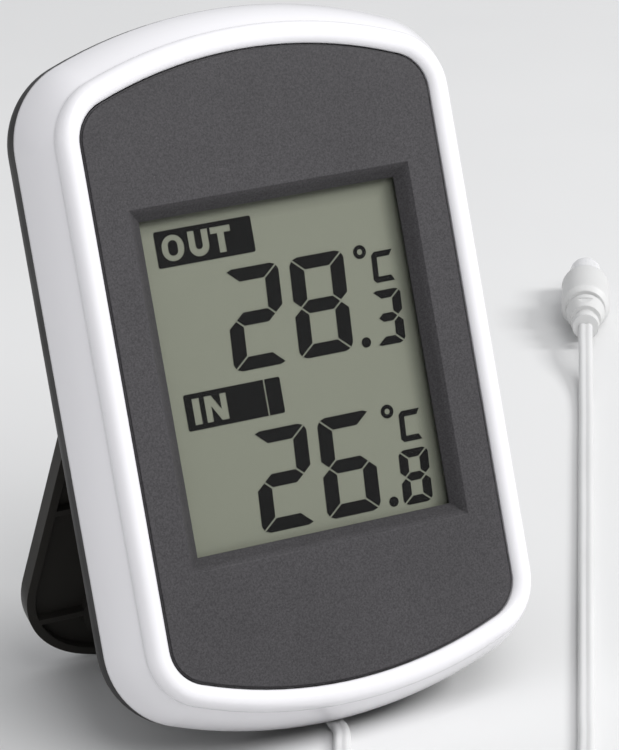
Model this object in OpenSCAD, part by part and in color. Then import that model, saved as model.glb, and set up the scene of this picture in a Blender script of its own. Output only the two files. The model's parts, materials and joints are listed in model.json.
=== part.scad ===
// Maximum minimum thermometer: a desk display on a fold-out stand, with a wired outdoor probe.
// Everything in the case is drawn in face coordinates: X to the right, Y up the face and
// Z out towards the reader, with the face plate's front at Z = 0. "Depth" is minus Z.
// in_case() leans the case back and sets it down with its heel and its stand on Z = 0.

/* [Case] */
// Width of the grey face plate, which sets the width of the case
plate_w = 52; // [51.12:0.44:52.88]
// Height of the grey face plate at its middle
plate_h = 87.2; // [85:0.2:90]
// Radius of the face plate's corners, which also settles how strongly top and bottom arch
corner_r = 5.54; // [5.1:0.11:6.2]
// How far the case reaches out beyond the face plate all round
rim = 6.4; // [6.2:0.1:6.6]
// Depth from the face plate to the flat of the back
case_depth = 16.4; // [16.2:0.1:17]

/* [Display] */
// Width of the opening that the display shows in
window_w = 38.4; // [36:0.2:39]
// Height of the opening that the display shows in
window_h = 46; // [44:0.2:46.4]
// Outdoor reading, in tenths of a degree
outdoor_tenths = 283; // [100:1:999]
// Indoor reading, in tenths of a degree
indoor_tenths = 268; // [100:1:999]

/* [Stand] */
// Angle that the case leans back, in degrees
lean = 19; // [17:0.5:21]
// Angle between the back of the case and the open stand, in degrees
stand_angle = 43; // [40:1:45]
// Width of the stand where it is widest, above the corners of its foot
stand_w = 64.6; // [60:0.2:64.6]
// Radius of the two corners of the stand's foot
foot_r = 16; // [8:1:18]

/* [Probe] */
// Diameter of the probe's domed capsule
capsule_d = 5.6; // [5:0.1:6]
// Diameter of the grip behind the capsule
grip_d = 8.5; // [8:0.1:9]
// Width of the flat twin lead
lead_w = 2.45; // [2.2:0.05:2.6]
// Thickness of the flat twin lead
lead_t = 1.4; // [1.2:0.05:1.5]

/* [Part] */
// Piece to draw

/* [Hidden] */
$fn = 48;

half_w = plate_w / 2;
half_h = plate_h / 2;

// Centres of the outline's arcs and corners. Every outline in the case is an offset of this one.
// An arch passes into a corner on a slope of 44 across to 117 up, which makes 125 along, so the
// places where the curves meet have exact coordinates.
slope_x = 44;
slope_y = 117;
slope_len = 125;
corner_x = half_w - corner_r;
arch_r = corner_r + corner_x * slope_len / slope_x;
arch_y = half_h - arch_r;
corner_y = arch_y + corner_x * slope_y / slope_x;

// Gap round the face plate, and the step on its front edge
plate_seam = 0.2;
plate_edge = 0.25;

// Depths of the layers, from the face plate backwards
plate_back = 1.8;
ledge_back = 3.2;
part_line = 8.8;
board_front = 7.2;
board_back = 8.2;
wall = 1.8;
floor_in = 12.4;
floor_out = 14;

// The back cover's rounded edge
cover_r = 6;
cover_edge_d = rim - cover_r;
cover_edge_depth = case_depth - cover_r;

// The white rim: a round bead beside the plate, and a flank that swells out to the parting line
bead_d = 1.6;
bead_depth = 1;
bead_r = 1.7;
flank_d = -11.9;
flank_depth = 12.1;
flank_r = 18.6;
flank_wall = 1.7;

// Stand hinge
hinge_y = -3;
hinge_depth = 14.9;
barrel_r = 1.5;
rod_r = 0.8;
ear_x = 22;
ear_w = 3.6;
ear_neck = 1.2;
stand_inner = hinge_depth - floor_out;

// The stand's sides flare towards its foot on a slope of 25 across to 312 down, which makes 313
// along, so the places where they meet the corners have exact coordinates.
flare_x = 25;
flare_y = 312;
flare_len = 313;

// Heel of the case, the lowest edge of the back cover
heel_y = -(half_h + rim);
heel_half_angle = 13;

// Heights above the desk, measured along the upright
function up_of(y, depth) = y * cos(lean) - depth * sin(lean);
function back_of(y, depth) = y * sin(lean) + depth * cos(lean);
ground = up_of(heel_y, floor_out);
swing = stand_angle - lean;
stand_len = (up_of(hinge_y, hinge_depth) - ground - stand_inner * sin(swing)) / cos(swing);

// Middle of the case and open stand, front to back
front_reach = back_of(-half_h - bead_d, bead_depth) - bead_r;
foot_reach = back_of(hinge_y, hinge_depth) + stand_len * sin(swing) + (case_depth - hinge_depth) * cos(swing);
mid_back = (front_reach + foot_reach) / 2;

// Screws
upper_screw = [23.2, 33.5];
lower_screw = [26.5, -24];
screw_shoulder = 10.6;
board_screw = [18, 27.6];

// Buttons on the back
button_x = 9;
button_y = 16;
button_r = 4;
button_gap = 0.15;
button_top = 16.2;
pad_back = 10;
button_foot = 10.65;

// Battery, size AAA, and its bay
cell_r = 5.25;
cell_y = -35.2;
cell_depth = 7.1;
cell_neg_x = -22.6;
cell_pos_x = 21.1;
cell_nub = 0.8;
bay_x = 26.4;
bay_top = -29.4;
bay_bottom = -41;
door_top = -29;
door_bottom = -43.1;
door_half_w = 24.8;
door_travel = 2.4;
door_front = 12.95;
door_back = 13.95;
hook_x = 23.8;
hook_w = 1.2;

// Lead outlet
outlet_y = -46.5;
outlet_depth = 11.9;

// Lettering and bars of the display
ink_front = 2.68;
ink_back = 2.74;
digit_w = 8.2;
digit_h = 13.9;
digit_upright = 2.1;
digit_level = 1.8;
small_w = 4.5;
small_h = 7.6;
small_upright = 1.35;
small_level = 1.15;
bar_gap = 0.18;
slant = 3.5;
upper_row = 0.55;
row_drop = 22.4;

// Coil of the spare lead, in front of the case
coil_at = [-15.6, -62];
coil_in_r = 6.8;
coil_out_r = 26.7;
coil_h = 5;

// The probe lies on the desk, its tip pointing away
probe_at = [104.5, 97.5];
probe_turn = 60.5;
neck_1 = 2.4;
grip_start = 9;
grip_len = 11.5;
capsule_len = 10.7;
socket_r = 2.3;

// Routes of the lead's two loose stretches, above the desk
lead_z = lead_t / 2;
outlet_up = up_of(outlet_y, outlet_depth) - ground;
outlet_at = back_of(outlet_y, outlet_depth) - mid_back;
lead_drop_r = 4.9;
drop_turn = 90 - lean;
case_drop = [
    for (t = [0 : drop_turn / 6 : drop_turn + 0.01])
        [
            0,
            outlet_at - lead_drop_r * (sin(t) * sin(lean) + (1 - cos(t)) * cos(lean)),
            outlet_up - lead_drop_r * (sin(t) * cos(lean) - (1 - cos(t)) * sin(lean))
        ]
];
case_route = concat(case_drop, [
    [-0.7, -20, lead_z], [-2.2, -23, lead_z], [-4.3, -27, lead_z], [-7, -31, lead_z],
    [-10.2, -34.1, lead_z], [-13.4, -35.7, 0.9], [-16.5, -36.1, 1.2]
]);
probe_route = [
    [7, -74.8, 3.6], [9.5, -70.4, 3.3], [11.9, -66.1, 2.6], [14.4, -61.7, 1.6], [16.9, -57.4, 0.9],
    [20.5, -51, lead_z], [25, -43, lead_z], [28.5, -37, lead_z], [32, -30.7, lead_z], [36.6, -22.6, lead_z],
    [42, -13, lead_z], [48, -2.4, lead_z], [54, 8.2, lead_z], [60, 18.8, lead_z],
    [67, 31.1, lead_z], [74, 43.5, lead_z], [80.5, 55, lead_z], [87, 66.4, lead_z],
    [92.5, 76.2, 0.9], [96.5, 83.3, 1.8], [99.5, 88.6, 3.1], [102, 93.1, 4], [104.5, 97.5, grip_d / 2]
];

// ---------------------------------------------------------------- helpers

// Leans the case back and sets it on the desk.
module in_case() {
    translate([0, -mid_back, -ground])
        rotate([90 - lean, 0, 0])
            children();
}

// Extrudes a flat shape between two depths.
module layer(front, back) {
    translate([0, 0, -back])
        linear_extrude(back - front)
            children();
}

// The part of the face that an arch bounds, and the part that a corner bounds.
module arch_wedge() {
    polygon([[0, arch_y], [slope_x, arch_y + slope_y], [-slope_x, arch_y + slope_y]]);
}

module corner_wedge() {
    polygon([
        [corner_x, corner_y],
        [corner_x + slope_x / 4, corner_y + slope_y / 4],
        [corner_x + slope_x, corner_y + slope_y / 4],
        [corner_x + slope_x, corner_y]
    ]);
}

// The case outline, offset outwards by d.
module outline(d) {
    for (sy = [0, 1])
        mirror([0, sy, 0]) {
            for (sx = [-1, 1])
                translate([sx * corner_x, corner_y])
                    circle(corner_r + d);
            intersection() {
                translate([0, arch_y])
                    circle(arch_r + d);
                arch_wedge();
            }
        }
    square([2 * (half_w + d), 2 * corner_y], center = true);
}

// Sweeps a section, drawn with X as the offset from the plate's edge and Y as Z, round the outline.
module round_outline() {
    for (sx = [0, 1])
        mirror([sx, 0, 0]) {
            translate([half_w, 0, 0])
                rotate([90, 0, 0])
                    linear_extrude(2 * corner_y, center = true)
                        children();
            for (sy = [0, 1])
                mirror([0, sy, 0])
                    intersection() {
                        translate([corner_x, corner_y, 0])
                            rotate_extrude($fn = 96)
                                translate([corner_r, 0])
                                    children();
                        layer(-5, case_depth + 5)
                            corner_wedge();
                    }
        }
    for (sy = [0, 1])
        mirror([0, sy, 0])
            intersection() {
                translate([0, arch_y, 0])
                    rotate_extrude($fn = 240)
                        translate([arch_r, 0])
                            children();
                layer(-5, case_depth + 5)
                    arch_wedge();
            }
}

// A rectangle in section coordinates, between two offsets and two depths.
module band(d0, d1, front, back) {
    translate([d0, -back])
        square([d1 - d0, back - front]);
}

// A block between two X, two Y and two depth values.
module block(x0, x1, y0, y1, front, back) {
    translate([x0, y0, -back])
        cube([x1 - x0, y1 - y0, back - front]);
}

// A round post or hole along the depth.
module post(at, r, front, back) {
    translate([at[0], at[1], -back])
        cylinder(r = r, h = back - front);
}

// A rod along X.
module rod(x0, x1, y, depth, r) {
    translate([x0, y, -depth])
        rotate([0, 90, 0])
            cylinder(r = r, h = x1 - x0);
}

// Repeats its children at the four screw positions of the case.
module at_case_screws() {
    for (sx = [-1, 1]) {
        translate([sx * upper_screw[0], upper_screw[1], 0])
            children();
        translate([sx * lower_screw[0], lower_screw[1], 0])
            children();
    }
}

// Unit vector, and the two directions across a route at step i.
function unit(v) = v / norm(v);
function heading(path, i) = unit(path[min(i + 1, len(path) - 1)] - path[max(i - 1, 0)]);
function across(path, i) = unit(cross(heading(path, i), [0, 0, 1]));

// A tube of oval section swept along a route on the desk: w wide, t thick.
module swept_lead(path, w, t) {
    sides = 8;
    rings = len(path);
    points = [
        for (i = [0 : rings - 1], k = [0 : sides - 1])
            path[i]
                + across(path, i) * (w / 2) * cos(360 * k / sides)
                + cross(across(path, i), heading(path, i)) * (t / 2) * sin(360 * k / sides)
    ];
    walls = [
        for (i = [0 : rings - 2], k = [0 : sides - 1])
            [
                i * sides + k,
                i * sides + (k + 1) % sides,
                (i + 1) * sides + (k + 1) % sides,
                (i + 1) * sides + k
            ]
    ];
    start_cap = [[for (k = [sides - 1 : -1 : 0]) k]];
    end_cap = [[for (k = [0 : sides - 1]) (rings - 1) * sides + k]];
    polyhedron(points = points, faces = concat(walls, start_cap, end_cap), convexity = 10);
}

// ---------------------------------------------------------------- front of the case

// Section of the white rim.
module rim_section() {
    intersection() {
        translate([bead_d, -bead_depth])
            circle(bead_r);
        band(plate_seam, rim, -1, ledge_back);
    }
    difference() {
        intersection() {
            translate([flank_d, -flank_depth])
                circle(flank_r);
            band(1, rim + 1, 1.3, part_line);
        }
        translate([flank_d, -flank_depth])
            circle(flank_r - flank_wall);
    }
    band(-2, 2.6, plate_back + 0.02, ledge_back);
}

// White front frame with its ledge for the plate and four screw posts.
module front_frame() {
    color([0.93, 0.93, 0.94])
        in_case()
            difference() {
                union() {
                    round_outline()
                        rim_section();
                    at_case_screws()
                        post([0, 0], 2.4, plate_back + 0.02, 9.3);
                }
                at_case_screws()
                    post([0, 0], 1, 3.4, 9.4);
                rod(-24, 24, cell_y, cell_depth, cell_r + 0.3);
            }
}

// Cuts the bevelled opening: wide at the front, window_w by window_h at the back.
module window_bevel() {
    bevel = 1.8;
    deep = plate_back - 0.15;
    over = 0.5;
    slope = bevel / deep;
    intersection() {
        rotate([90, 0, 0])
            linear_extrude(80, center = true)
                polygon([
                    [-window_w / 2 - bevel - slope * over, over],
                    [window_w / 2 + bevel + slope * over, over],
                    [window_w / 2, -deep],
                    [window_w / 2, -plate_back - over],
                    [-window_w / 2, -plate_back - over],
                    [-window_w / 2, -deep]
                ]);
        rotate([90, 0, 90])
            linear_extrude(80, center = true)
                polygon([
                    [-window_h / 2 - bevel - slope * over, over],
                    [window_h / 2 + bevel + slope * over, over],
                    [window_h / 2, -deep],
                    [window_h / 2, -plate_back - over],
                    [-window_h / 2, -plate_back - over],
                    [-window_h / 2, -deep]
                ]);
    }
}

// Grey grained face plate.
module face_plate() {
    color([0.27, 0.26, 0.28])
        in_case()
            difference() {
                union() {
                    layer(plate_edge, plate_back)
                        outline(0);
                    layer(0, plate_edge)
                        outline(-plate_edge);
                }
                window_bevel();
            }
}

// Clear window behind the plate.
module window_lens() {
    color([0.85, 0.9, 0.9, 0.25])
        in_case()
            block(-21, 21, -24.8, 24.8, plate_back + 0.05, 2.65);
}

// ---------------------------------------------------------------- display

// Front film of the display.
module display_polariser() {
    color([0.53, 0.54, 0.48])
        in_case()
            block(-20.5, 20.5, -24.4, 24.6, 2.75, 2.95);
}

// The two bonded glasses; the front one is taller and carries the contacts.
module display_glass() {
    color([0.7, 0.75, 0.72, 0.5])
        in_case() {
            block(-21, 21, -26.5, 25, 2.95, 3.95);
            block(-21, 21, -23.5, 25, 3.95, 4.95);
        }
}

// Reflecting film behind the glasses.
module display_reflector() {
    color([0.6, 0.6, 0.56])
        in_case()
            block(-20.5, 20.5, -23.2, 24.6, 4.95, 5.15);
}

// Leans the bars of a digit to the right.
function lean_bar(points) = [for (p = points) [p[0] + p[1] * tan(slant), p[1]]];

function flip_x(points, w) = [for (p = points) [w - p[0], p[1]]];
function flip_y(points, h) = [for (p = points) [p[0], h - p[1]]];

// One bar of a digit of size w by h. Upright bars are tx wide and level ones ty high, and the
// digit's outer corners are cut back. Bars are named as on any digit display.
module bar(name, w, h, tx, ty) {
    k = bar_gap;
    m = h / 2;
    cut = tx / 2;
    nip = cut * 0.3;
    drop = nip * ty / tx;
    side = [
        [nip, h - drop - k], [tx, h - ty - k], [tx, m + ty / 2 + k],
        [tx / 2, m + k], [0, m + ty / 2 + k], [0, h - cut]
    ];
    top = [
        [nip + k, h - drop], [cut + k, h], [w - cut - k, h],
        [w - nip - k, h - drop], [w - tx - k, h - ty], [tx + k, h - ty]
    ];
    if (name == "a")
        polygon(lean_bar(top));
    if (name == "d")
        polygon(lean_bar(flip_y(top, h)));
    if (name == "g")
        polygon(lean_bar([
            [tx / 2 + k, m], [tx + k, m + ty / 2], [w - tx - k, m + ty / 2],
            [w - tx / 2 - k, m], [w - tx - k, m - ty / 2], [tx + k, m - ty / 2]
        ]));
    if (name == "f")
        polygon(lean_bar(side));
    if (name == "e")
        polygon(lean_bar(flip_y(side, h)));
    if (name == "b")
        polygon(lean_bar(flip_x(side, w)));
    if (name == "c")
        polygon(lean_bar(flip_x(flip_y(side, h), w)));
}

// One figure made of bars, with its lower left corner at a point.
module large_figure(figure, at) {
    translate(at)
        for (n = FIGURES[figure])
            bar(n, digit_w, digit_h, digit_upright, digit_level);
}

module small_figure(figure, at) {
    translate(at)
        for (n = FIGURES[figure])
            bar(n, small_w, small_h, small_upright, small_level);
}

// Ring and open C of the unit, one stroke each.
module degree_unit(y) {
    w = 3.2;
    h = 4.3;
    stroke = 0.8;
    cut = 0.45;
    taper = 0.5;
    translate([12.7, y + 13.05])
        difference() {
            circle(0.95);
            circle(0.4);
        }
    translate([14.1, y + 8.4])
        polygon(lean_bar([
            [cut, 0], [w, 0], [w - taper, stroke], [stroke, stroke], [stroke, h - stroke],
            [w - taper, h - stroke], [w, h], [cut, h], [0, h - cut], [0, cut]
        ]));
}

// The bars lit for each figure.
FIGURES = ["abcdef", "bc", "abged", "abgcd", "fgbc", "afgcd", "afgedc", "abc", "abcdefg", "abcdfg"];

// One reading in tenths of a degree, with its lower edge at y.
module reading(tenths, y) {
    large_figure(floor(tenths / 100) % 10, [-8.75, y]);
    large_figure(floor(tenths / 10) % 10, [1.15, y]);
    small_figure(tenths % 10, [12.85, y - 0.3]);
    translate([11.4, y + 0.6])
        circle(0.7);
    degree_unit(y);
}

// Open letter shapes that are cut out of the two label boxes, all 3.6 high.
module letter_o() {
    difference() {
        union() {
            for (s = [-1, 1])
                translate([0, s * 0.15])
                    circle(1.65);
            square([3.3, 0.3], center = true);
        }
        for (s = [-1, 1])
            translate([0, s * 0.37])
                circle(0.68);
        square([1.36, 0.74], center = true);
    }
}

module letter_u() {
    difference() {
        union() {
            translate([0, -0.3])
                circle(1.5);
            translate([-1.5, -0.3])
                square([3, 2.1]);
        }
        translate([0, -0.3])
            circle(0.5);
        translate([-0.5, -0.3])
            square([1, 2.4]);
    }
}

module letter_t() {
    translate([-1.5, 0.9])
        square([3, 0.9]);
    translate([-0.52, -1.8])
        square([1.04, 3]);
}

module letter_i() {
    translate([-0.55, -1.8])
        square([1.1, 3.6]);
}

module letter_n() {
    for (x = [-1.65, 0.7])
        translate([x, -1.8])
            square([0.95, 3.6]);
    polygon([[-1.65, 1.8], [-0.55, 1.8], [1.65, -1.8], [0.55, -1.8]]);
}

// A label box with small round corners and its lower left corner at a point.
module label_box(at) {
    w = 14.4;
    h = 5;
    r = 0.3;
    translate(at) {
        translate([r, 0])
            square([w - 2 * r, h]);
        translate([0, r])
            square([w, h - 2 * r]);
        for (x = [r, w - r])
            for (y = [r, h - r])
                translate([x, y])
                    circle(r);
    }
}

// Black label boxes with their open letters.
module label_boxes() {
    difference() {
        label_box([-17, 16.3]);
        translate([-14.5, 18.8])
            letter_o();
        translate([-10.65, 18.8])
            letter_u();
        translate([-7.3, 18.8])
            letter_t();
    }
    difference() {
        label_box([-16.8, -6.1]);
        translate([-15.15, -3.6])
            letter_i();
        translate([-12.25, -3.6])
            letter_n();
        translate([-4.9, -7])
            square([0.24, 7]);
    }
}

// Everything dark on the display: label boxes and figures.
module display_bars() {
    color([0.08, 0.08, 0.08])
        in_case()
            layer(ink_front, ink_back) {
                label_boxes();
                reading(outdoor_tenths, upper_row);
                reading(indoor_tenths, upper_row - row_drop);
            }
}

// Moulded frame that holds the display against the board.
module display_frame() {
    color([0.88, 0.88, 0.86])
        in_case()
            difference() {
                union() {
                    block(-23.4, 23.4, -27.9, 27.4, plate_back + 0.05, board_front);
                    for (sx = [-1, 1])
                        post([sx * board_screw[0], board_screw[1]], 2.2, 4, board_front);
                }
                block(-21.3, 21.3, -26.8, 25.3, plate_back, board_front + 1);
                for (sx = [-1, 1])
                    post([sx * board_screw[0], board_screw[1]], 0.8, 4.4, board_front + 1);
            }
}

// Striped rubber strip that joins the glass to the board.
module zebra_strip() {
    color([0.35, 0.35, 0.37])
        in_case()
            block(-20, 20, -26.4, -24.2, 3.95, board_front);
}

// ---------------------------------------------------------------- board

// Circuit board with its two fixing holes.
module circuit_board() {
    color([0.1, 0.36, 0.2])
        in_case()
            difference() {
                block(-22, 22, -28, 29.6, board_front, board_back);
                for (sx = [-1, 1])
                    post([sx * board_screw[0], board_screw[1]], 0.95, board_front - 1, board_back + 1);
            }
}

// Two small screws that hold the board to the display frame.
module board_screws() {
    color([0.72, 0.72, 0.74])
        in_case()
            for (sx = [-1, 1])
                difference() {
                    union() {
                        post([sx * board_screw[0], board_screw[1]], 0.75, 4.6, board_back + 0.01);
                        post([sx * board_screw[0], board_screw[1]], 1.7, board_back, 9.1);
                    }
                    block(sx * board_screw[0] - 1.1, sx * board_screw[0] + 1.1,
                        board_screw[1] - 0.2, board_screw[1] + 0.2, 8.7, 9.2);
                }
}

// Black potting over the controller.
module controller_chip() {
    color([0.05, 0.05, 0.05])
        in_case()
            intersection() {
                translate([0, -2, -board_back + 13.3])
                    sphere(r = 14.8, $fn = 200);
                block(-8, 8, -10, 6, board_back, 10);
            }
}

// Clock crystal, lying on the board.
module crystal() {
    color([0.75, 0.76, 0.78])
        in_case() {
            rod(10, 16, -12, 9.25, 1);
            for (s = [-1, 1])
                rod(8.4, 10.01, -12 + 0.5 * s, 9.25, 0.18);
        }
}

// Small chip parts soldered to the board.
module board_parts() {
    color([0.55, 0.47, 0.36])
        in_case()
            for (x = [-18, -14.5, -11])
                for (y = [-20, -14, 4])
                    block(x, x + 2, y, y + 1.2, board_back, 8.9);
}

// Bead that measures the room, on two legs near the vents.
module indoor_thermistor() {
    color([0.1, 0.1, 0.12])
        in_case() {
            translate([6, 24, -10.4])
                sphere(r = 1.1);
            for (s = [-1, 1])
                post([6 + 0.5 * s, 24], 0.2, board_back, 9.8);
        }
}

// Rubber pad with a dome under each button.
module key_pad() {
    color([0.6, 0.62, 0.64])
        in_case() {
            block(-15, 15, button_y - 5.5, button_y + 5.5, board_back, 8.7);
            for (sx = [-1, 1])
                post([sx * button_x, button_y], 3.2, 8.69, pad_back);
        }
}

// One push button at x: stem, flange behind the wall, and the cap a finger presses.
module button_at(x) {
    in_case() {
        post([x, button_y], 1.6, button_foot, 13.4);
        post([x, button_y], 4.8, 13.3, 14.4);
        post([x, button_y], button_r, 14.3, button_top - 0.5);
        translate([x, button_y, -button_top])
            cylinder(r1 = button_r - 0.5, r2 = button_r, h = 0.51);
    }
}

module max_min_button() {
    color([0.16, 0.16, 0.17])
        button_at(-button_x);
}

module reset_button() {
    color([0.16, 0.16, 0.17])
        button_at(button_x);
}

// ---------------------------------------------------------------- back of the case

// The back cover as a filled shape, its surface moved in by inset.
module cover_fill(inset, front) {
    back = case_depth - inset;
    round_outline() {
        intersection() {
            translate([cover_edge_d, -cover_edge_depth])
                circle(cover_r - inset);
            band(-4, rim, cover_edge_depth, back);
        }
        band(-4, cover_edge_d + 0.01, cover_edge_depth - 0.01, back);
        band(-4, rim - inset, front, cover_edge_depth + 0.001);
    }
    layer(front, back)
        outline(-3.99);
}

// Square-edged heel that the case stands on, following the arched bottom.
module heel() {
    translate([0, -arch_y, 0])
        rotate([0, 0, 270 - heel_half_angle])
            rotate_extrude(angle = 2 * heel_half_angle)
                translate([arch_r, 0])
                    band(4.7, rim, cover_edge_depth - 0.5, floor_out);
}

// Room in the back for the folded stand, with a groove for its barrel.
module stand_recess() {
    block(-40, 40, -60, hinge_y + barrel_r + 0.3, floor_out, case_depth + 1);
    rod(-40, 40, hinge_y, hinge_depth, barrel_r + 0.2);
}

// Two ears in the recess that carry the stand's rods.
module hinge_ears() {
    for (sx = [-1, 1])
        difference() {
            union() {
                rod(sx * ear_x - ear_w / 2, sx * ear_x + ear_w / 2, hinge_y, hinge_depth, barrel_r);
                block(sx * ear_x - ear_w / 2, sx * ear_x + ear_w / 2,
                    hinge_y - ear_neck, hinge_y + ear_neck, floor_in + 0.2, hinge_depth);
            }
            rod(sx * ear_x - 3, sx * ear_x + 3, hinge_y, hinge_depth, rod_r + 0.05);
        }
}

// Space that walls inside the cover may take: the cover's own, and inside the white rim.
module inner_room() {
    cover_fill(0.5, part_line + 0.02);
    layer(4, part_line + 0.03)
        outline(2.7);
}

// Walls that stand up inside the cover: screw wells, battery bay and lead outlet.
module cover_inner_walls() {
    at_case_screws()
        post([0, 0], 4, 9.4, floor_out);
    for (sx = [-1, 1])
        post([sx * upper_screw[0], upper_screw[1]], 4, floor_out - 0.01, case_depth - 0.5);
    difference() {
        block(-bay_x - 1, bay_x + 1, bay_bottom - 1, bay_top + 1, 5, floor_in + 0.5);
        block(-bay_x, bay_x, bay_bottom, bay_top, 4, floor_out);
    }
    block(-3.9, 3.9, -48.6, -44.8, 8.9, floor_in + 0.5);
}

// Holes through the cover: screws, buttons, vents, hanger, battery and lead.
module cover_holes() {
    at_case_screws() {
        post([0, 0], 2.8, screw_shoulder, case_depth + 1);
        post([0, 0], 1.3, 9, case_depth);
    }
    for (sx = [-1, 1])
        post([sx * button_x, button_y], button_r + button_gap, 14, case_depth + 1);
    for (i = [-2 : 2])
        block(i * 3.4 - 0.7, i * 3.4 + 0.7, 23, 30, 14, case_depth + 1);
    post([0, 35.2], 3.5, 14, case_depth + 1);
    post([0, 39.6], 1.7, 14, case_depth + 1);
    block(-1.7, 1.7, 35.2, 39.6, 14, case_depth + 1);
    block(-door_half_w - 0.1, door_half_w + 0.1, door_bottom - 0.1, door_top + door_travel + 0.1,
        door_front - 0.1, floor_out + 0.5);
    block(-24.6, 24.6, bay_bottom, -29.6, floor_in - 0.5, floor_out);
    for (sx = [-1, 1])
        block(sx * hook_x - hook_w / 2 - 0.2, sx * hook_x + hook_w / 2 + 0.2,
            bay_bottom - 1.8, bay_bottom + 0.1, 11.2, floor_in + 0.05);
    block(-2.6, 2.6, heel_y - 1, outlet_y + 0.1, 9.1, floor_out + 0.5);
    block(-2.35, 2.35, outlet_y - 0.1, -44, 10.75, 13.05);
}

// Black back cover.
module rear_cover() {
    color([0.09, 0.09, 0.09])
        in_case()
            difference() {
                union() {
                    difference() {
                        union() {
                            cover_fill(0, part_line + 0.02);
                            heel();
                        }
                        stand_recess();
                        difference() {
                            cover_fill(wall, part_line - 1);
                            block(-40, 40, -60, hinge_y + barrel_r + 1.9, floor_in, case_depth + 1);
                        }
                    }
                    hinge_ears();
                    intersection() {
                        cover_inner_walls();
                        inner_room();
                    }
                }
                cover_holes();
            }
}

// Four screws that close the case.
module case_screws() {
    color([0.7, 0.7, 0.72])
        in_case()
            at_case_screws()
                difference() {
                    union() {
                        post([0, 0], 0.95, 3.8, screw_shoulder + 0.01);
                        post([0, 0], 2.3, screw_shoulder, 11.9);
                    }
                    block(-1.5, 1.5, -0.3, 0.3, 11.3, 12);
                    block(-0.3, 0.3, -1.5, 1.5, 11.3, 12);
                }
}

// ---------------------------------------------------------------- battery

// AAA cell lying across the foot of the case.
module battery() {
    color([0.2, 0.35, 0.2])
        in_case() {
            rod(cell_neg_x, cell_pos_x, cell_y, cell_depth, cell_r);
            rod(cell_pos_x - 0.01, cell_pos_x + cell_nub, cell_y, cell_depth, 1.9);
        }
}

module battery_contact_positive() {
    color([0.78, 0.78, 0.76])
        in_case() {
            block(21.95, 22.25, -40, -30.4, 3.6, 11);
            block(21.95, 22.25, -30.41, -28.9, 3.6, 4.8);
        }
}

module battery_contact_negative() {
    color([0.78, 0.78, 0.76])
        in_case() {
            block(-26, -25.7, -40, -30.4, 3.6, 11);
            block(-26, -25.7, -30.41, -28.9, 3.6, 4.8);
        }
}

// Coil spring that presses on the cell's flat end.
module battery_spring() {
    turns = 3.5;
    steps = 42;
    wire = 0.5;
    coil = [
        for (i = [0 : steps])
            let (a = 360 * turns * i / steps, r = 3.6 - 1.3 * i / steps)
                [r * cos(a), r * sin(a), 2.5 * i / steps]
    ];
    color([0.8, 0.8, 0.78])
        in_case()
            translate([-25.43, cell_y, -cell_depth])
                rotate([0, 90, 0])
                    swept_lead(coil, wire, wire);
}

// Sliding door over the battery: grip grooves, a stiffening step and two hooks under the floor.
module battery_door() {
    color([0.1, 0.1, 0.1])
        in_case()
            difference() {
                union() {
                    block(-door_half_w, door_half_w, door_bottom, door_top, door_front, door_back);
                    block(-22.8, 22.8, -40.6, -32.3, 12.5, door_front + 0.01);
                    for (sx = [-1, 1])
                        battery_door_hook(sx * hook_x);
                }
                for (i = [0 : 4])
                    block(-7, 7, -31.4 - 1.3 * i, -30.8 - 1.3 * i, door_back - 0.35, door_back + 1);
            }
}

module battery_door_hook(x) {
    block(x - hook_w / 2, x + hook_w / 2, bay_bottom + 0.15, -40.1, 11.4, door_front + 0.01);
    block(x - hook_w / 2, x + hook_w / 2, bay_bottom - 1.5, -40.1, 11.4, 12.3);
}

// ---------------------------------------------------------------- stand

// Centre of the corner of the stand's foot, and the place where a side meets a corner of radius r.
foot_x = stand_w / 2 - foot_r;
foot_y = foot_r - stand_len;
function side_end(r) = [foot_x + r * flare_y / flare_len, foot_y + r * flare_x / flare_len];

// Half the width of the stand at its hinge, for an outline whose corners have radius r.
function half_at_hinge(r) = side_end(r)[0] + side_end(r)[1] * flare_x / flare_y;

// Flat outline of the stand below its hinge, moved in by inset.
module stand_outline(inset) {
    r = foot_r - inset;
    end = side_end(r);
    top = half_at_hinge(r);
    polygon([[-top, 0], [-end[0], end[1]], [-foot_x, foot_y], [foot_x, foot_y], end, [top, 0]]);
    translate([-foot_x, foot_y - r])
        square([2 * foot_x, r]);
    for (sx = [-1, 1])
        translate([sx * foot_x, foot_y])
            circle(r);
}

// The stand folded flat against the back, measured from its hinge axis.
module folded_stand() {
    inner = -stand_inner;
    outer = case_depth - hinge_depth;
    skin = 1.2;
    ring_x = 16.4;
    ring_y = -38;
    difference() {
        union() {
            layer(inner, outer)
                stand_outline(0);
            rod(-half_at_hinge(foot_r), half_at_hinge(foot_r), 0, 0, barrel_r);
        }
        difference() {
            layer(inner - 2, outer - skin)
                stand_outline(1.3);
            block(-40, 40, -2.6, 2, inner - 2, outer);
            for (y = [-16.5, -38.5])
                block(-40, 40, y, y + 1, inner, outer);
            for (sx = [-1, 1])
                post([sx * ring_x, ring_y], 6.5, inner, outer);
        }
        for (sx = [-1, 1]) {
            post([sx * ring_x, ring_y], 4.6, inner - 1, outer + 1);
            rod(sx * ear_x - ear_w / 2 - 0.25, sx * ear_x + ear_w / 2 + 0.25, 0, 0, barrel_r + 0.2);
        }
    }
    for (sx = [-1, 1])
        rod(sx * ear_x - 2.2, sx * ear_x + 2.2, 0, 0, rod_r);
}

// Black stand, swung out to its stop.
module stand() {
    color([0.1, 0.1, 0.1])
        in_case()
            translate([0, hinge_y, -hinge_depth])
                rotate([stand_angle, 0, 0])
                    folded_stand();
}

// ---------------------------------------------------------------- lead and probe

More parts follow.
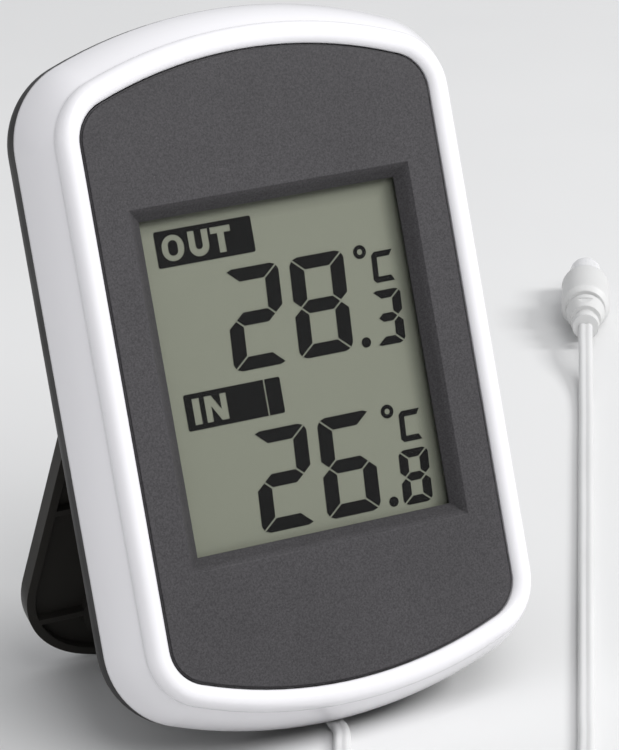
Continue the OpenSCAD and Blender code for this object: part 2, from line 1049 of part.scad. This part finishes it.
// Rubber grommet that grips the lead in the foot of the cover.
module lead_grommet() {
    color([0.8, 0.8, 0.8])
        in_case() {
            block(-2.3, 2.3, outlet_y, -44.7, 10.8, 13);
            block(-3.2, 3.2, -44.75, -43.6, 10, 12.35);
        }
}

module lead_to_case() {
    color([0.86, 0.86, 0.86])
        swept_lead(case_route, lead_w, lead_t);
}

// The spare lead, wound in two flat layers.
module lead_coil() {
    color([0.86, 0.86, 0.86])
        translate(coil_at)
            rotate_extrude()
                translate([coil_in_r, 0])
                    square([coil_out_r - coil_in_r, coil_h]);
}

module lead_to_probe() {
    color([0.86, 0.86, 0.86])
        swept_lead(probe_route, lead_w, lead_t);
}

// Lays the probe on the desk: its axis is X, starting where the lead goes in.
module in_probe() {
    translate([probe_at[0], probe_at[1], grip_d / 2])
        rotate([0, 0, probe_turn])
            children();
}

// A round slice of the probe between two points of its axis, tapering if r1 differs.
module slice(x0, x1, r0, r1) {
    translate([x0, 0, 0])
        rotate([0, 90, 0])
            cylinder(r1 = r0, r2 = r1, h = x1 - x0);
}

// White grip with a bend relief of two rings on slotted necks.
module probe_grip() {
    grip_end = grip_start + grip_len;
    color([0.9, 0.9, 0.89])
        in_probe()
            difference() {
                union() {
                    slice(0, 1.6, 2.3, 2.45);
                    slice(1.59, 3.4, 2, 2);
                    slice(3.39, 7.5, 2.75, 3.4);
                    slice(7.49, 9.1, 2.6, 2.6);
                    slice(9, 10.2, 3.5, grip_d / 2);
                    slice(10.19, grip_end, grip_d / 2, grip_d / 2);
                }
                for (x = [1.9, 7.7])
                    translate([x, -1.9, -3])
                        cube([1.1, 2, 6]);
                translate([4.7, -4, 2.9])
                    cube([1.7, 8, 1]);
                slice(grip_end - 3.2, grip_end + 1, socket_r, socket_r);
            }
}

// Domed capsule, hollow for the sensing bead.
module probe_capsule() {
    r = capsule_d / 2;
    grip_end = grip_start + grip_len;
    tip = grip_end + capsule_len - r;
    color([0.88, 0.88, 0.87])
        in_probe()
            difference() {
                union() {
                    slice(grip_end - 3.1, grip_end + 0.1, socket_r - 0.05, socket_r - 0.05);
                    slice(grip_end + 0.05, tip, r, r);
                    translate([tip, 0, 0])
                        sphere(r = r);
                }
                slice(grip_end - 4, tip - 0.5, 1.9, 1.9);
                translate([tip - 0.5, 0, 0])
                    sphere(r = 1.9);
            }
}

// Sensing bead on its two legs inside the capsule.
module probe_thermistor() {
    grip_end = grip_start + grip_len;
    color([0.15, 0.15, 0.17])
        in_probe() {
            translate([grip_end + capsule_len - 4.6, 0, 0])
                sphere(r = 1.2);
            for (s = [-1, 1])
                translate([0, 0.55 * s, 0])
                    slice(grip_end - 3.1, grip_end + capsule_len - 4.6, 0.25, 0.25);
        }
}

// ---------------------------------------------------------------- assembly

front_frame();
face_plate();
window_lens();
display_polariser();
display_glass();
display_reflector();
display_bars();
display_frame();
zebra_strip();
circuit_board();
board_screws();
controller_chip();
crystal();
board_parts();
indoor_thermistor();
key_pad();
max_min_button();
reset_button();
rear_cover();
case_screws();
battery();
battery_contact_positive();
battery_contact_negative();
battery_spring();
battery_door();
stand();
lead_grommet();
lead_to_case();
lead_coil();
lead_to_probe();
probe_grip();
probe_capsule();
probe_thermistor();
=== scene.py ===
"""Looks of the maximum minimum thermometer: materials, the 3 m probe lead, the desk, light and camera."""
import json
import math

import bpy
from mathutils import Matrix, Vector


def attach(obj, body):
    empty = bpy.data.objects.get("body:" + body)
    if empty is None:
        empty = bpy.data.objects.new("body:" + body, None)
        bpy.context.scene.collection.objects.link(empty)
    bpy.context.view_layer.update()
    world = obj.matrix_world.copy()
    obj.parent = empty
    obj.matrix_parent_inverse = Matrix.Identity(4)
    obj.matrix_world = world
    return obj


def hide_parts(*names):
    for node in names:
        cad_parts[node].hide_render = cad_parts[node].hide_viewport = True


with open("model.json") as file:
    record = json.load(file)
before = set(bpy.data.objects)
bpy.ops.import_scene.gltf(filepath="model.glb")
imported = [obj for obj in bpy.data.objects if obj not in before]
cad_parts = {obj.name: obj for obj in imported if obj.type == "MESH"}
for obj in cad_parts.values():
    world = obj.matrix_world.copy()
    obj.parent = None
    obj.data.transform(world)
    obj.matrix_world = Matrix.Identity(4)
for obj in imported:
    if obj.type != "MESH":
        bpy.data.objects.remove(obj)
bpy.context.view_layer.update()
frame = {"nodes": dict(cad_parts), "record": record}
RECORD = frame["record"]
MM = 0.001

# ---------------------------------------------------------------- frame of the leaning case

# Face coordinates are X right, Y up the face and Z out towards the reader, in millimetres.
HANGER = next(m for m in RECORD["mounts"] if m["name"] == "hanger")
HANGER_UP = 35.2
HANGER_DEPTH = 15.5
OUT = -Vector(HANGER["axis"])
UP = Vector((0, OUT.z, -OUT.y))
LEAN = math.atan2(OUT.z, -OUT.y)
FACE_ORIGIN = Vector(HANGER["pos_m"]) - UP * HANGER_UP * MM + OUT * HANGER_DEPTH * MM


def on_face(x, y, depth=0.0):
    """A point of the case given in face coordinates, in the row frame."""
    return FACE_ORIGIN + Vector((x, 0, 0)) * MM + UP * y * MM - OUT * depth * MM


# ---------------------------------------------------------------- camera, light and desk

CAMERA_AT = Vector((-0.213, -0.4664, 0.24105))
CAMERA_LOOKS_AT = Vector((0.00075, -0.01015, 0.05053))
CAMERA_ROLL = math.radians(-1.91)
LENS_MM = 189.6
SENSOR_MM = 36
DESK_SIZE = 8.0
ROOM_TINT = (0.97, 0.98, 1, 1)
ROOM_STRENGTH = 0.51
LIGHTS_LOOK_AT = Vector((0.02, 0, 0.05))
KEY_AT = Vector((1.0, -0.55, 0.85))
KEY_SIZE = 0.45
KEY_WATTS = 11.5
TOP_AT = Vector((0.1, -0.8, 1.05))
TOP_SIZE = 0.8
TOP_WATTS = 8.0


def add_camera():
    """The camera, at the photograph's viewing angle."""
    data = bpy.data.cameras.new("camera")
    data.lens = LENS_MM
    data.sensor_width = SENSOR_MM
    data.clip_start = 0.01
    data.clip_end = 30
    camera = bpy.data.objects.new("camera", data)
    bpy.context.scene.collection.objects.link(camera)
    aim = (CAMERA_LOOKS_AT - CAMERA_AT).to_track_quat("-Z", "Y").to_matrix()
    turned = aim @ Matrix.Rotation(CAMERA_ROLL, 3, "Z")
    camera.matrix_world = Matrix.Translation(CAMERA_AT) @ turned.to_4x4()
    bpy.context.scene.camera = camera


def add_softbox(name, at, size, watts):
    """A square area light that points at the middle of the case."""
    data = bpy.data.lights.new(name, "AREA")
    data.size = size
    data.energy = watts
    light = bpy.data.objects.new(name, data)
    bpy.context.scene.collection.objects.link(light)
    light.location = at
    light.rotation_euler = (LIGHTS_LOOK_AT - at).to_track_quat("-Z", "Y").to_euler()


def add_light():
    """A bright even room, a key light from the upper right and a broad one from above the camera."""
    world = bpy.data.worlds.new("studio")
    world.use_nodes = True
    back = world.node_tree.nodes["Background"]
    back.inputs["Color"].default_value = ROOM_TINT
    back.inputs["Strength"].default_value = ROOM_STRENGTH
    bpy.context.scene.world = world
    add_softbox("key", KEY_AT, KEY_SIZE, KEY_WATTS)
    add_softbox("top", TOP_AT, TOP_SIZE, TOP_WATTS)
    bpy.context.scene.view_settings.view_transform = "Standard"


def add_desk(material):
    """Pale desk under everything."""
    half = DESK_SIZE / 2
    mesh = bpy.data.meshes.new("desk")
    corners = [(-half, -half, 0), (half, -half, 0), (half, half, 0), (-half, half, 0)]
    mesh.from_pydata(corners, [], [(0, 1, 2, 3)])
    mesh.materials.append(material)
    desk = bpy.data.objects.new("desk", mesh)
    bpy.context.scene.collection.objects.link(desk)


# ---------------------------------------------------------------- shader helpers


class Shader:
    """A material built from nodes, with short names for the nodes used here."""

    def __init__(self, name):
        self.material = bpy.data.materials.new(name)
        self.material.use_nodes = True
        self.tree = self.material.node_tree
        self.bsdf = self.tree.nodes["Principled BSDF"]
        self.place = self.node("ShaderNodeTexCoord").outputs["Object"]

    def node(self, kind, **settings):
        """A new node with those settings."""
        made = self.tree.nodes.new(kind)
        for key, value in settings.items():
            setattr(made, key, value)
        return made

    def put(self, value, socket):
        """Links a socket, or sets a plain value."""
        if isinstance(value, bpy.types.NodeSocket):
            self.tree.links.new(value, socket)
        elif isinstance(value, (tuple, list)) and len(value) == 3 and len(socket.default_value) == 4:
            socket.default_value = (*value, 1)
        else:
            socket.default_value = value

    def set(self, **values):
        """Sets inputs of the Principled shader; underscores stand for spaces."""
        for key, value in values.items():
            self.put(value, self.bsdf.inputs[key.replace("_", " ")])
        return self

    def mapped(self, scale=(1, 1, 1), rotation=(0, 0, 0), location=(0, 0, 0)):
        """Object coordinates seen from a frame with that origin, turn and unit."""
        mapping = self.node("ShaderNodeMapping", vector_type="TEXTURE")
        self.put(self.place, mapping.inputs["Vector"])
        self.put(location, mapping.inputs["Location"])
        self.put(rotation, mapping.inputs["Rotation"])
        self.put(scale, mapping.inputs["Scale"])
        return mapping.outputs["Vector"]

    def face_place(self):
        """Face coordinates in metres, for what is laid out on the leaning case."""
        return self.mapped(rotation=(math.pi / 2 - LEAN, 0, 0), location=FACE_ORIGIN)

    def noise(self, scale, detail=3.0, rough=0.5, place=None):
        """Cloudy noise from 0 to 1; a scale of 1000 has features about a millimetre across."""
        made = self.node("ShaderNodeTexNoise")
        self.put(place or self.place, made.inputs["Vector"])
        self.put(scale, made.inputs["Scale"])
        self.put(detail, made.inputs["Detail"])
        self.put(rough, made.inputs["Roughness"])
        return made.outputs["Fac"]

    def spread(self, value, low, high, to_low, to_high):
        """Maps low and high to two other values, evenly between them and held at their ends."""
        made = self.node("ShaderNodeMapRange")
        self.put(value, made.inputs["Value"])
        self.put(low, made.inputs["From Min"])
        self.put(high, made.inputs["From Max"])
        self.put(to_low, made.inputs["To Min"])
        self.put(to_high, made.inputs["To Max"])
        return made.outputs["Result"]

    def blend(self, amount, first, second):
        """The first colour where the amount is 0, and the second where it is 1."""
        made = self.node("ShaderNodeMix", data_type="RGBA")
        self.put(amount, made.inputs[0])
        self.put(first, made.inputs[6])
        self.put(second, made.inputs[7])
        return made.outputs[2]

    def maths(self, operation, first, second):
        """One of the Math node's operations on two values."""
        made = self.node("ShaderNodeMath", operation=operation)
        self.put(first, made.inputs[0])
        self.put(second, made.inputs[1])
        return made.outputs[0]

    def axes(self, vector):
        """The x, y and z of a vector."""
        made = self.node("ShaderNodeSeparateXYZ")
        self.put(vector, made.inputs[0])
        return made.outputs

    def rounded(self, radius):
        """The surface's normal, with its edges softened to that radius."""
        made = self.node("ShaderNodeBevel", samples=4)
        made.inputs["Radius"].default_value = radius
        return made.outputs["Normal"]

    def bump(self, height, depth, under=None):
        """Relief of that depth in metres, on top of another bump if one is given."""
        made = self.node("ShaderNodeBump")
        self.put(height, made.inputs["Height"])
        made.inputs["Strength"].default_value = 1
        made.inputs["Distance"].default_value = depth
        if under is not None:
            self.put(under, made.inputs["Normal"])
        return made.outputs["Normal"]


def scaled(colour, factor):
    """A lighter or darker tone of a colour."""
    return tuple(c * factor for c in colour)


def moulded(
    name, colour, rough=(0.3, 0.42), grain=2e-6, grain_scale=2500,
    vary=0.04, coat=0.0, shine=0.5, edge=0.00015
):
    """Injection-moulded plastic or rubber: clouding, handling marks, a fine grain and soft edges."""
    s = Shader(name)
    clouds = s.spread(s.noise(35, 4), 0.3, 0.7, 0, 1)
    s.set(Base_Color=s.blend(clouds, scaled(colour, 1 - vary), scaled(colour, 1 + vary)))
    smears = s.noise(120, 6, 0.65)
    s.set(Roughness=s.spread(smears, 0.3, 0.75, *rough))
    fine = s.bump(s.noise(grain_scale, 2), grain, s.rounded(edge))
    s.set(Normal=s.bump(s.noise(60, 1), 6e-6, fine))
    s.set(Coat_Weight=coat, Coat_Roughness=0.08, Specular_IOR_Level=shine)
    return s


def metal(name, colour, rough, along=(1, 1, 1), scratch=8e-7):
    """Plated or brushed metal with fine lines along one axis and dull patches."""
    s = Shader(name)
    lines = s.noise(900, 4, 0.6, s.mapped(scale=along))
    dull = s.noise(90, 5, 0.7)
    s.set(Metallic=1.0, Base_Color=s.blend(s.spread(dull, 0.35, 0.75, 0, 1), colour, scaled(colour, 0.72)))
    s.set(Roughness=s.spread(lines, 0.3, 0.7, rough, rough + 0.16))
    s.set(Normal=s.bump(lines, scratch))
    return s


# ---------------------------------------------------------------- materials, one for each slot


def white_gloss():
    """Glossy white case plastic, slightly cool, with fine orange peel and faint rubbed marks."""
    s = moulded(
        "white_gloss", (0.82, 0.81, 0.835), rough=(0.13, 0.26), grain=4e-7, vary=0.012, coat=0.35, edge=0.0006
    )
    s.set(IOR=1.5, Subsurface_Weight=0.08, Subsurface_Radius=(0.6, 0.6, 0.6), Subsurface_Scale=0.0012)
    return s


def grey_plate():
    """Charcoal face plate: spark-eroded grain with lighter flecks, faint clouding and painted shade that
    darkens the bevels and other surfaces lying deeper than its front.
    """
    s = Shader("grey_plate")
    clouds = s.spread(s.noise(60, 3), 0.3, 0.7, 0.93, 1.07)
    # Painted shade: the colour darkens where the surface lies deeper than the plate's front, as on the
    # window's bevels, where shade falls.
    painted_shade_tone = 0.78
    _, _, height = s.axes(s.face_place())
    painted_bevel_shade = s.spread(height, -0.7 * MM, -0.3 * MM, painted_shade_tone, 1)
    grain = s.spread(s.noise(3600, 4, 0.7), 0.36, 0.64, 0, 1)
    tone = s.blend(grain, (0.03, 0.0285, 0.031), (0.06, 0.057, 0.061))
    flecks = s.spread(s.noise(6500, 2, 0.7), 0.64, 0.78, 0, 0.5)
    flecked = s.blend(flecks, tone, (0.17, 0.165, 0.17))
    shaded = s.node("ShaderNodeVectorMath", operation="SCALE")
    s.put(flecked, shaded.inputs[0])
    s.put(s.maths("MULTIPLY", clouds, painted_bevel_shade), shaded.inputs["Scale"])
    s.set(Base_Color=shaded.outputs[0])
    s.set(Roughness=s.spread(s.noise(300, 4), 0.3, 0.7, 0.46, 0.6))
    s.set(Normal=s.bump(s.noise(4200, 3, 0.6), 1.6e-5, s.rounded(0.0002)), Specular_IOR_Level=0.3)
    return s


def clear_window():
    """Thin clear window: mostly see-through, with a weak shine and a trace of dust."""
    s = Shader("clear_window")
    dust = s.spread(s.noise(700, 6, 0.8), 0.62, 0.85, 0, 1)
    s.set(Base_Color=(0.3, 0.31, 0.3), Roughness=s.spread(s.noise(80, 3), 0.3, 0.7, 0.03, 0.08))
    s.set(Alpha=s.spread(dust, 0, 1, 0.006, 0.014), IOR=1.49)
    return s


def display_film():
    """Grey-green reflective display film, finely mottled.

    It has painted shade towards its right and top edges: a darker colour that stands in for the shadow the
    deep frame of the window casts on it.
    """
    s = Shader("display_film")
    mottled = s.spread(s.noise(4200, 3, 0.6), 0.3, 0.7, 0, 1)
    tone = s.blend(mottled, (0.175, 0.184, 0.144), (0.184, 0.193, 0.151))
    x, y, _ = s.axes(s.face_place())
    # Painted shade: towards the right and top edges the film's colour goes over to a dark colour, standing in
    # for the frame's shadow.
    painted_shade_x = s.spread(x, 16.8 * MM, 19.5 * MM, 0, 0.75)
    painted_shade_y = s.spread(y, 20.5 * MM, 23.2 * MM, 0, 0.6)
    s.set(Base_Color=s.blend(s.maths("MAXIMUM", painted_shade_x, painted_shade_y), tone, (0.045, 0.047, 0.038)))
    s.set(Roughness=s.spread(s.noise(150, 3), 0.3, 0.7, 0.45, 0.55), Specular_IOR_Level=0.15)
    s.set(Normal=s.bump(s.noise(4200, 2), 1e-6))
    return s


def display_glass():
    """The display's glass, faintly green at its cut edges."""
    s = Shader("display_glass")
    s.set(Base_Color=s.blend(s.noise(200), (0.72, 0.8, 0.76), (0.8, 0.86, 0.83)), Alpha=0.35)
    s.set(Roughness=s.spread(s.noise(400, 3), 0.3, 0.7, 0.04, 0.12))
    return s


def display_ink():
    """Dark display bars, not quite even."""
    s = Shader("display_ink")
    s.set(Base_Color=s.blend(s.noise(600, 2), (0.003, 0.003, 0.003), (0.005, 0.005, 0.005)))
    s.set(Roughness=s.spread(s.noise(900), 0.3, 0.7, 0.5, 0.6), Specular_IOR_Level=0.08)
    return s


def reflector():
    """Brushed film behind the glass."""
    return metal("reflector", (0.62, 0.62, 0.57), 0.35, along=(12, 1, 1))


def zebra_rubber():
    """Striped contact rubber: dark and pale layers a fifth of a millimetre apart."""
    s = Shader("zebra_rubber")
    stripes = s.node("ShaderNodeTexWave", bands_direction="X")
    s.put(s.place, stripes.inputs["Vector"])
    s.put(1600.0, stripes.inputs["Scale"])
    s.put(0.4, stripes.inputs["Distortion"])
    s.set(Base_Color=s.blend(stripes.outputs["Fac"], (0.03, 0.03, 0.035), (0.35, 0.35, 0.36)))
    s.set(Roughness=s.spread(s.noise(500), 0.3, 0.7, 0.5, 0.7))
    return s


def board():
    """Green board: solder mask over faint copper tracks, with the weave of the laminate in its relief."""
    s = Shader("board")
    bricks = s.node("ShaderNodeTexBrick", offset=0.37, squash=1.6)
    s.put(s.face_place(), bricks.inputs["Vector"])
    for key, value in (("Scale", 210.0), ("Mortar Size", 0.09), ("Brick Width", 1.3), ("Row Height", 0.5)):
        s.put(value, bricks.inputs[key])
    tracks = bricks.outputs["Fac"]
    s.set(Base_Color=s.blend(tracks, (0.012, 0.1, 0.04), (0.03, 0.2, 0.085)))
    s.set(Roughness=s.spread(s.noise(300), 0.3, 0.7, 0.2, 0.35), Coat_Weight=0.3)
    s.set(Normal=s.bump(tracks, 2e-5, s.bump(s.noise(1800, 2), 3e-6)))
    return s


def cell_jacket():
    """Printed sleeve of the cell: dark green with a copper-coloured band at its raised end."""
    s = Shader("cell_jacket")
    x, _, _ = s.axes(s.place)
    band = s.spread(x, 11.8 * MM, 12 * MM, 0, 1)
    bare = s.spread(x, 20.7 * MM, 20.9 * MM, 0, 1)
    scuffs = s.spread(s.noise(260, 6, 0.75), 0.55, 0.8, 0, 0.35)
    sleeve = s.blend(band, (0.015, 0.1, 0.035), (0.5, 0.24, 0.09))
    printed = s.blend(scuffs, sleeve, (0.3, 0.3, 0.28))
    s.set(Base_Color=s.blend(bare, printed, (0.7, 0.68, 0.63)), Metallic=s.spread(bare, 0, 1, 0.35, 1))
    s.set(Roughness=s.spread(s.noise(200, 4), 0.3, 0.7, 0.2, 0.38))
    return s


def lead_jacket():
    """Soft pale vinyl of the lead: a little translucent, with drawing lines and dust."""
    s = moulded("lead_jacket", (0.66, 0.66, 0.66), rough=(0.32, 0.48), grain=3e-6, grain_scale=1500)
    s.set(Subsurface_Weight=0.25, Subsurface_Radius=(1, 0.97, 0.93), Subsurface_Scale=0.0008)
    return s


def probe_white():
    """Satin white moulding of the grip, faintly warm, with grime in the fine grain."""
    s = moulded(
        "probe_white", (0.64, 0.64, 0.635), rough=(0.4, 0.55), grain=5e-6, grain_scale=1800, edge=0.0003
    )
    s.set(Subsurface_Weight=0.15, Subsurface_Radius=(1, 0.97, 0.93), Subsurface_Scale=0.0008)
    return s


def capsule_white():
    """Smooth milky capsule that lets some light in."""
    s = moulded("capsule_white", (0.74, 0.74, 0.75), rough=(0.18, 0.3), grain=8e-7, vary=0.02, coat=0.2)
    s.set(Subsurface_Weight=0.5, Subsurface_Radius=(1, 0.98, 0.95), Subsurface_Scale=0.0015)
    return s


def desk_surface():
    """Pale matte desk with the faintest clouding."""
    s = Shader("desk_surface")
    s.set(Base_Color=s.blend(s.noise(9, 3), (0.73, 0.73, 0.73), (0.76, 0.76, 0.76)))
    s.set(Roughness=s.spread(s.noise(40, 3), 0.3, 0.7, 0.55, 0.7), Specular_IOR_Level=0.2)
    return s


SLOTS = {
    "white_gloss": white_gloss,
    "grey_plate": grey_plate,
    "clear_window": clear_window,
    "display_film": display_film,
    "display_glass": display_glass,
    "reflector": reflector,
    "display_ink": display_ink,
    "holder": lambda: moulded("holder", (0.78, 0.78, 0.76)),
    "zebra_rubber": zebra_rubber,
    "board": board,
    "steel": lambda: metal("steel", (0.56, 0.56, 0.58), 0.24),
    "potting": lambda: moulded("potting", (0.012, 0.012, 0.013), rough=(0.12, 0.3), coat=0.4),
    "chip_parts": lambda: moulded("chip_parts", (0.3, 0.22, 0.14), rough=(0.35, 0.5), grain=6e-6),
    "bead": lambda: moulded("bead", (0.02, 0.02, 0.03), rough=(0.15, 0.3), coat=0.3),
    "silicone": lambda: moulded("silicone", (0.35, 0.37, 0.38), rough=(0.5, 0.65)),
    "button_plastic": lambda: moulded("button_plastic", (0.028, 0.028, 0.03), rough=(0.35, 0.5), grain=6e-6),
    "black_plastic": lambda: moulded(
        "black_plastic", (0.015, 0.014, 0.014), rough=(0.42, 0.56), grain=7e-6, vary=0.12, shine=0.2
    ),
    "black_gloss": lambda: moulded(
        "black_gloss", (0.033, 0.031, 0.028), rough=(0.28, 0.42), grain=3e-6, vary=0.12, shine=0.05
    ),
    "cell_jacket": cell_jacket,
    "nickel": lambda: metal("nickel", (0.68, 0.66, 0.61), 0.16, along=(1, 8, 1)),
    "grommet_rubber": lambda: moulded("grommet_rubber", (0.6, 0.6, 0.6), rough=(0.5, 0.65), grain=5e-6),
    "lead_jacket": lead_jacket,
    "probe_white": probe_white,
    "capsule_white": capsule_white,
}
MADE = {slot: make().material for slot, make in SLOTS.items()}


def dress_nodes():
    """Gives each CAD node the material of its slot."""
    for part in RECORD["subparts"]:
        mesh = frame["nodes"][part["node"]].data
        mesh.materials.clear()
        mesh.materials.append(MADE[part["material_slot"]])


def add_piece(name, verts, faces, slot, body, smooth=True):
    """A piece of its own with a slot's material, riding on a body."""
    mesh = bpy.data.meshes.new(name)
    mesh.from_pydata([tuple(v) for v in verts], [], faces)
    mesh.materials.append(MADE[slot])
    mesh.validate()
    mesh.polygons.foreach_set("use_smooth", [smooth] * len(mesh.polygons))
    piece = bpy.data.objects.new(name, mesh)
    bpy.context.scene.collection.objects.link(piece)
    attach(piece, body)
    return piece


# ---------------------------------------------------------------- the lead

LEAD_W = 2.45 * MM
LEAD_T = 1.4 * MM
CORE_SIDES = 8
GROOVE = 0.86
ROUTE_STEPS = 4
OUTLET_UP = -46.5
OUTLET_DEPTH = 11.9
DROP_R = 4.9
DROP_STEPS = 6
COIL_AT = Vector((-15.6, -62, 0)) * MM
COIL_OUT_R = 25.9 * MM
COIL_IN_R = 7.5 * MM
COIL_STARTS = math.radians(92)
COIL_ENDS = math.radians(330.3)
LAYER_TURNS = 13.08
LIFT_TURN = 0.5
COIL_STEPS = 40
TWIST_BEFORE = 5 * MM
TWIST_AFTER = 22 * MM
PROBE_AXIS_Z = 4.25

# Loose stretches, in millimetres: from the case to the coil, and from the coil to the probe.
CASE_ROUTE = [
    (-0.7, -20, 0.7), (-2.2, -23, 0.7), (-4.3, -27, 0.7), (-7, -31, 0.7),
    (-10.2, -34.1, 0.7), (-13.4, -35.7, 0.9),
]
PROBE_ROUTE = [
    (7, -74.8, 3.6), (9.5, -70.4, 3.3), (11.9, -66.1, 2.6), (14.4, -61.7, 1.6), (16.9, -57.4, 0.9),
    (20.5, -51, 0.7), (25, -43, 0.7), (28.5, -37, 0.7), (32, -30.7, 0.7), (36.6, -22.6, 0.7),
    (42, -13, 0.7), (48, -2.4, 0.7), (54, 8.2, 0.7), (60, 18.8, 0.7),
    (67, 31.1, 0.7), (74, 43.5, 0.7), (80.5, 55, 0.7), (87, 66.4, 0.7),
    (92.5, 76.2, 0.9), (96.5, 83.3, 1.8), (99.5, 88.6, 3.1), (102, 93.1, 4), (104.5, 97.5, PROBE_AXIS_Z),
]


def drop_points():
    """The bend that turns the lead from its outlet down the case to level above the desk."""
    outlet = on_face(0, OUTLET_UP, OUTLET_DEPTH)
    points = []
    for i in range(DROP_STEPS + 1):
        t = (math.pi / 2 - LEAN) * i / DROP_STEPS
        down = UP * -math.sin(t) * DROP_R * MM
        forward = OUT * (1 - math.cos(t)) * DROP_R * MM
        points.append(outlet + down + forward)
    return points


def coil_points():
    """Two flat layers: in along the lower one, up at the middle and out along the upper one."""
    total = 2 * LAYER_TURNS + LIFT_TURN
    total += ((COIL_ENDS - COIL_STARTS) / (2 * math.pi) - total + 0.5) % 1 - 0.5
    layer = (total - LIFT_TURN) / 2
    low = LEAD_W / 2
    high = low + LEAD_W
    count = round(total * COIL_STEPS)
    points = []
    for i in range(count):
        turn = total * i / count
        inward = min(turn, total - turn, layer) / layer
        r = COIL_OUT_R + (COIL_IN_R - COIL_OUT_R) * inward
        rise = min(max((turn - layer) / LIFT_TURN, 0), 1)
        z = low + (high - low) * (3 - 2 * rise) * rise * rise
        angle = COIL_STARTS + 2 * math.pi * turn
        points.append(COIL_AT + Vector((r * math.cos(angle), r * math.sin(angle), z)))
    return points


def smoothed(points, steps):
    """A curve through the points, with that many steps between two of them."""
    ends = [points[0] * 2 - points[1], *points, points[-1] * 2 - points[-2]]
    curve = []
    for a, b, c, d in zip(ends, ends[1:], ends[2:], ends[3:]):
        squared = a * 2 - b * 5 + c * 4 - d
        cubed = b * 3 - a - c * 3 + d
        for k in range(steps):
            t = k / steps
            curve.append((b * 2 + (c - a) * t + squared * t ** 2 + cubed * t ** 3) / 2)
    return curve + [points[-1]]


def lead_section():
    """Twin-core section: two round cores side by side with a groove between them, across and up."""
    core_r = LEAD_T / 2
    centre = LEAD_W / 2 - core_r
    groove = math.acos(min(1, centre / core_r) * GROOVE)
    around = []
    for side in (1, -1):
        for k in range(CORE_SIDES + 1):
            a = -math.pi + groove + (2 * math.pi - 2 * groove) * k / CORE_SIDES
            around.append((side * (centre + core_r * math.cos(a)), side * core_r * math.sin(a)))
    return around


def eased(amount):
    """A smooth step from 0 to 1."""
    amount = min(max(amount, 0), 1)
    return amount * amount * (3 - 2 * amount)


def lead_twist(along, coil_from, coil_to):
    """How far the lead stands on edge at a distance along it: upright in the coil and flat on the desk."""
    turning_up = eased((along - coil_from + TWIST_BEFORE) / (3 * TWIST_BEFORE))
    turning_down = eased((coil_to + TWIST_AFTER - along) / TWIST_AFTER)
    return math.pi / 2 * min(turning_up, turning_down)


def add_ties():
    """Two thin bands that hold the coil together, at either side of it."""
    band = 1.6 * MM
    thick = 0.22 * MM
    r0 = COIL_IN_R - 0.9 * MM
    r1 = COIL_OUT_R + 0.75 * MM
    top = LEAD_W * 2 + 0.28 * MM
    corner = 0.9 * MM
    ties = []
    for number, angle in enumerate((math.radians(20), math.radians(200))):
        out = Vector((math.cos(angle), math.sin(angle), 0))
        side = Vector((-out.y, out.x, 0))
        loop = []
        for cx, cz, start in (
            (r1 - corner, top - corner, 0), (r0 + corner, top - corner, 90),
            (r0 + corner, corner, 180), (r1 - corner, corner, 270),
        ):
            for k in range(7):
                a = math.radians(start + 15 * k)
                loop.append((cx + corner * math.cos(a), cz + corner * math.sin(a), math.cos(a), math.sin(a)))
        verts = []
        for x, z, nx, nz in loop:
            for inset, across in ((0, -1), (0, 1), (thick, 1), (thick, -1)):
                at = COIL_AT + out * (x - nx * inset) + side * across * band / 2
                verts.append(at + Vector((0, 0, z - nz * inset)))
        n = len(loop)
        faces = [
            (i * 4 + k, i * 4 + (k + 1) % 4, (i + 1) % n * 4 + (k + 1) % 4, (i + 1) % n * 4 + k)
            for i in range(n)
            for k in range(4)
        ]
        ties.append(add_piece(f"coil_tie_{number + 1}", verts, faces, "probe_white", "case", smooth=False))
    return ties


def add_lead():
    """The whole 3 m lead as one tube, with its loose stretches and its coil."""
    to_case = [*drop_points(), *(Vector(p) * MM for p in CASE_ROUTE)]
    to_probe = [Vector(p) * MM for p in PROBE_ROUTE]
    into_grip = to_probe[-1] + (to_probe[-1] - to_probe[-2]).normalized() * MM
    coil = coil_points()
    loose_start = smoothed([*to_case, coil[0]], ROUTE_STEPS)[:-1]
    loose_end = smoothed([*to_probe, into_grip], ROUTE_STEPS)
    path = [*loose_start, *coil, *loose_end]
    distances = [0.0]
    for before, after in zip(path, path[1:]):
        distances.append(distances[-1] + (after - before).length)
    coil_from = distances[len(loose_start)]
    coil_to = distances[len(loose_start) + len(coil)]
    twists = [lead_twist(along, coil_from, coil_to) for along in distances]
    section = lead_section()
    lifted, verts = [], []
    for point, twist in zip(path, twists):
        lowest = (LEAD_W / 2 - LEAD_T / 2) * math.sin(twist) + LEAD_T / 2
        lifted.append(Vector((point.x, point.y, max(point.z, lowest))))
    for i, (point, twist) in enumerate(zip(lifted, twists)):
        heading = (lifted[min(i + 1, len(lifted) - 1)] - lifted[max(i - 1, 0)]).normalized()
        level = heading.cross(Vector((0, 0, 1))).normalized()
        upright = level.cross(heading)
        wide = level * math.cos(twist) + upright * math.sin(twist)
        thin = upright * math.cos(twist) - level * math.sin(twist)
        verts += [point + wide * x + thin * y for x, y in section]
    n = len(section)
    faces = [
        (i * n + k, i * n + (k + 1) % n, (i + 1) * n + (k + 1) % n, (i + 1) * n + k)
        for i in range(len(lifted) - 1)
        for k in range(n)
    ]
    faces += [tuple(reversed(range(n))), tuple(range(len(verts) - n, len(verts)))]
    lead = add_piece("lead", verts, faces, "lead_jacket", "case")
    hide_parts("lead_to_case", "lead_coil", "lead_to_probe")
    add_ties()


# ---------------------------------------------------------------- the scene

add_camera()
add_lead()
dress_nodes()
add_light()
add_desk(desk_surface().material)
